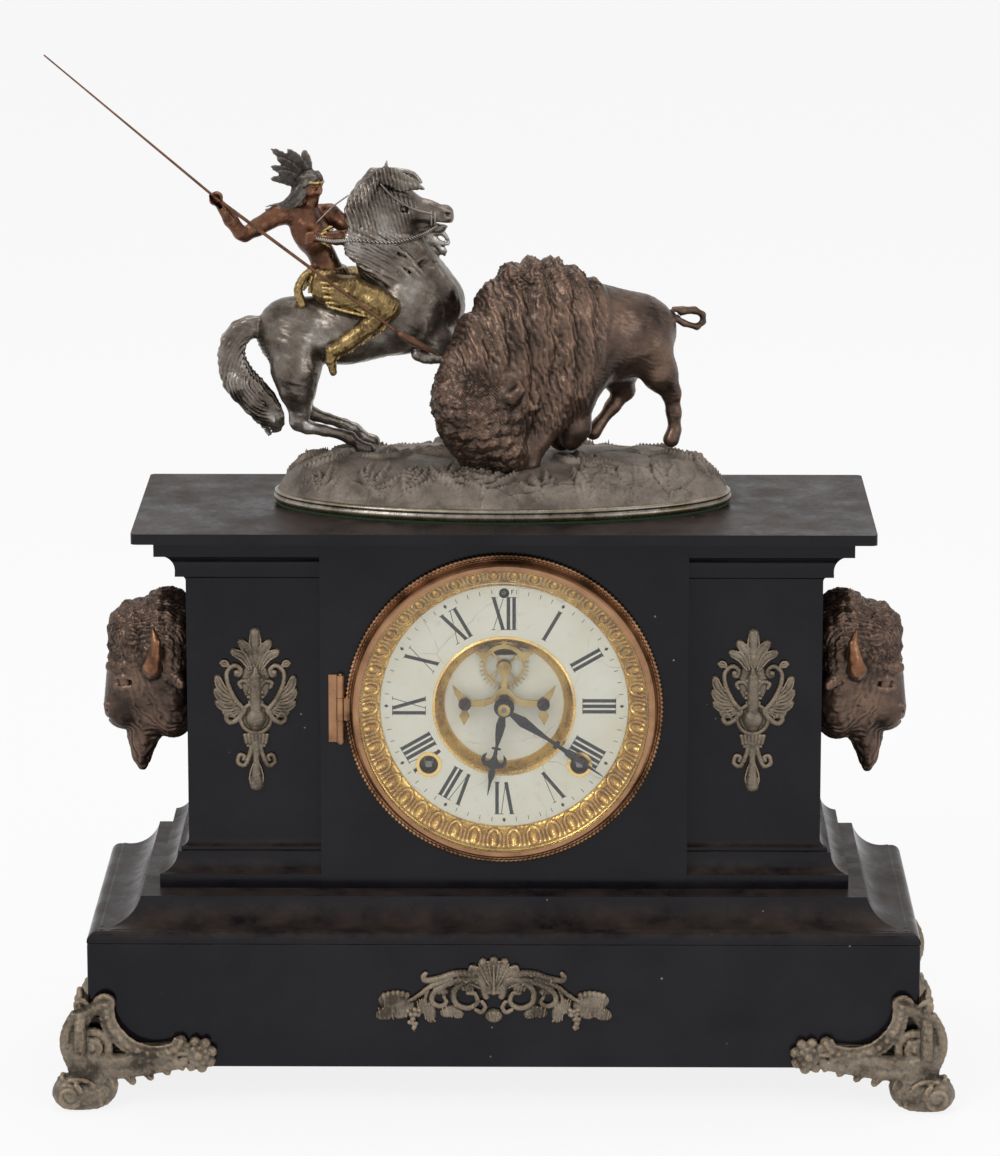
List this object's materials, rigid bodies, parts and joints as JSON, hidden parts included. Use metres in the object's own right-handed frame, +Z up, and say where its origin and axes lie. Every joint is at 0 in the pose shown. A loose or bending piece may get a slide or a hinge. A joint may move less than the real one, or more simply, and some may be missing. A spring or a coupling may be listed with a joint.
{
  "type": "figural clock",
  "caption": "Black enamelled iron mantel clock with a visible escapement and a bronze rider-and-bison group on top.",
  "frame": {"origin": "centre of the plinth's footprint at the shelf, z = 0 at the undersides of the feet", "axes": "+Z up, +X to the viewer's right, -Y towards the viewer (dial side)"},
  "size_m": [0.4714, 0.201, 0.5413],
  "materials": {
    "black_enamel": "gloss",
    "bronze_trim": "satin",
    "bezel_bronze": "satin",
    "gilt": "polished",
    "glass": "clear",
    "dial_enamel": "gloss",
    "brass": "satin",
    "steel": "satin",
    "blued_steel": "polished",
    "hand_black": "satin",
    "copper_bronze": "satin",
    "pewter_bronze": "satin",
    "rider_bronze": "satin",
    "mound_bronze": "satin",
    "felt": "matte"
  },
  "bodies": {
    "clock": {"plinth_shell": "black_enamel", "base_moulding": "black_enamel", "case_body": "black_enamel", "pilasters": "black_enamel", "back_panel": "black_enamel", "hinge_pins": "bezel_bronze", "top_slab": "black_enamel", "feet": "bronze_trim", "pilaster_ornaments": "bronze_trim", "base_ornament": "bronze_trim", "bison_heads": "copper_bronze", "felt_pad": "felt", "statue_base": "mound_bronze", "horse": "pewter_bronze", "rider": "rider_bronze", "lance": "rider_bronze", "reins": "pewter_bronze", "bison": "copper_bronze", "bezel_hinge_leaf": "bezel_bronze", "dial_pan": "brass", "dial_chapter": "dial_enamel", "winding_grommets": "gilt", "dial_inner_ring": "gilt", "dial_centre": "dial_enamel", "escapement_cock": "brass", "cock_screws": "blued_steel", "movement_front_plate": "brass", "movement_back_plate": "brass", "mainsprings": "blued_steel", "pendulum_cock": "brass", "suspension_strip": "steel", "gong_coil": "blued_steel", "gong_stand": "brass"},
    "bezel": {"bezel_ring": "bezel_bronze", "bezel_glass": "glass", "bezel_reflector": "gilt"},
    "back_door": {"back_door": "bezel_bronze"},
    "minute_work": {"cannon_pinion": "brass", "minute_hand": "hand_black", "hand_collet": "brass"},
    "minute_wheel": {"minute_wheel": "brass"},
    "hour_work": {"hour_wheel": "brass", "hour_hand": "hand_black"},
    "fourth_wheel": {"fourth_wheel": "brass"},
    "escape_wheel": {"escape_wheel": "brass"},
    "third_wheel": {"third_wheel": "brass"},
    "second_wheel": {"second_wheel": "brass"},
    "centre_arbor": {"centre_arbor": "steel"},
    "time_great_wheel": {"time_great_wheel": "brass"},
    "strike_third_wheel": {"strike_third_wheel": "brass"},
    "strike_pin_wheel": {"strike_pin_wheel": "brass"},
    "strike_great_wheel": {"strike_great_wheel": "brass"},
    "strike_fly": {"strike_fly": "brass"},
    "time_winding_arbor": {"time_winding_arbor": "steel"},
    "strike_winding_arbor": {"strike_winding_arbor": "steel"},
    "regulator": {"regulator_arbor": "steel"},
    "pendulum": {"pendulum_rod": "steel", "pendulum_bob": "brass"},
    "pallet_anchor": {"pallet_anchor": "brass"},
    "hammer": {"hammer": "steel"}
  },
  "joints": [
    {"name": "bezel_swing", "type": "hinge", "parent": "clock", "child": "bezel", "pos_m": [-0.085, -0.0468, 0.2031], "axis": [0, 0, -1], "range_deg": [0, 115]},
    {"name": "back_door_swing", "type": "hinge", "parent": "clock", "child": "back_door", "pos_m": [-0.0634, 0.0887, 0.2031], "axis": [0, 0, 1], "range_deg": [0, 120]},
    {"name": "minute_hand_turn", "type": "hinge", "parent": "clock", "child": "minute_work", "pos_m": [0, 0, 0.2031], "axis": [0, 1, 0], "continuous": true},
    {"name": "minute_wheel_turn", "type": "hinge", "parent": "clock", "child": "minute_wheel", "pos_m": [-0.01018, 0, 0.19292], "axis": [0, 1, 0], "continuous": true},
    {"name": "hour_hand_turn", "type": "hinge", "parent": "clock", "child": "hour_work", "pos_m": [0, 0, 0.2031], "axis": [0, 1, 0], "continuous": true},
    {"name": "fourth_wheel_turn", "type": "hinge", "parent": "clock", "child": "fourth_wheel", "pos_m": [0.01063, 0, 0.22909], "axis": [0, 1, 0], "continuous": true},
    {"name": "escape_wheel_turn", "type": "hinge", "parent": "clock", "child": "escape_wheel", "pos_m": [0, 0, 0.2232], "axis": [0, 1, 0], "continuous": true},
    {"name": "third_wheel_turn", "type": "hinge", "parent": "clock", "child": "third_wheel", "pos_m": [0.02289, 0, 0.21882], "axis": [0, 1, 0], "continuous": true},
    {"name": "second_wheel_turn", "type": "hinge", "parent": "clock", "child": "second_wheel", "pos_m": [0.02654, 0, 0.19814], "axis": [0, 1, 0], "continuous": true},
    {"name": "centre_arbor_turn", "type": "hinge", "parent": "clock", "child": "centre_arbor", "pos_m": [0, 0, 0.2031], "axis": [0, 1, 0], "continuous": true},
    {"name": "time_great_wheel_turn", "type": "hinge", "parent": "clock", "child": "time_great_wheel", "pos_m": [0.0394, 0, 0.1717], "axis": [0, 1, 0], "continuous": true},
    {"name": "strike_third_wheel_turn", "type": "hinge", "parent": "clock", "child": "strike_third_wheel", "pos_m": [-0.02289, 0, 0.21882], "axis": [0, 1, 0], "continuous": true},
    {"name": "strike_pin_wheel_turn", "type": "hinge", "parent": "clock", "child": "strike_pin_wheel", "pos_m": [-0.02654, 0, 0.19814], "axis": [0, 1, 0], "continuous": true},
    {"name": "strike_great_wheel_turn", "type": "hinge", "parent": "clock", "child": "strike_great_wheel", "pos_m": [-0.0394, 0, 0.1717], "axis": [0, 1, 0], "continuous": true},
    {"name": "strike_fly_turn", "type": "hinge", "parent": "clock", "child": "strike_fly", "pos_m": [-0.03089, 0, 0.23268], "axis": [0, 1, 0], "continuous": true},
    {"name": "time_winding_turn", "type": "hinge", "parent": "clock", "child": "time_winding_arbor", "pos_m": [0.0394, 0, 0.1717], "axis": [0, 1, 0], "continuous": true},
    {"name": "strike_winding_turn", "type": "hinge", "parent": "clock", "child": "strike_winding_arbor", "pos_m": [-0.0394, 0, 0.1717], "axis": [0, 1, 0], "continuous": true},
    {"name": "regulator_turn", "type": "hinge", "parent": "clock", "child": "regulator", "pos_m": [0, 0, 0.2635], "axis": [0, 1, 0], "range_deg": [-180, 180]},
    {"name": "pendulum_swing", "type": "hinge", "parent": "clock", "child": "pendulum", "pos_m": [0, 0.026, 0.2491], "axis": [0, 1, 0], "range_deg": [-3, 3]},
    {"name": "anchor_rock", "type": "hinge", "parent": "clock", "child": "pallet_anchor", "pos_m": [0, 0, 0.2491], "axis": [0, 1, 0], "range_deg": [-3, 3]},
    {"name": "hammer_lift", "type": "hinge", "parent": "clock", "child": "hammer", "pos_m": [-0.058, 0.04, 0.2151], "axis": [0, 1, 0], "range_deg": [-2, 20], "stiffness_Nm_per_rad": 0.05, "springref_deg": -0.97}
  ],
  "couplings": [
    {"joint": "minute_wheel_turn", "follows": "minute_hand_turn", "ratio": -0.33333},
    {"joint": "hour_hand_turn", "follows": "minute_hand_turn", "ratio": 0.083333},
    {"joint": "escape_wheel_turn", "follows": "fourth_wheel_turn", "ratio": -8},
    {"joint": "third_wheel_turn", "follows": "fourth_wheel_turn", "ratio": -0.14286},
    {"joint": "second_wheel_turn", "follows": "fourth_wheel_turn", "ratio": 0.02381},
    {"joint": "centre_arbor_turn", "follows": "fourth_wheel_turn", "ratio": -0.047619},
    {"joint": "time_great_wheel_turn", "follows": "fourth_wheel_turn", "ratio": -0.0039683},
    {"joint": "strike_pin_wheel_turn", "follows": "strike_third_wheel_turn", "ratio": -0.16667},
    {"joint": "strike_great_wheel_turn", "follows": "strike_third_wheel_turn", "ratio": 0.027778},
    {"joint": "strike_fly_turn", "follows": "strike_third_wheel_turn", "ratio": -7},
    {"joint": "anchor_rock", "follows": "pendulum_swing", "ratio": 1}
  ]
}
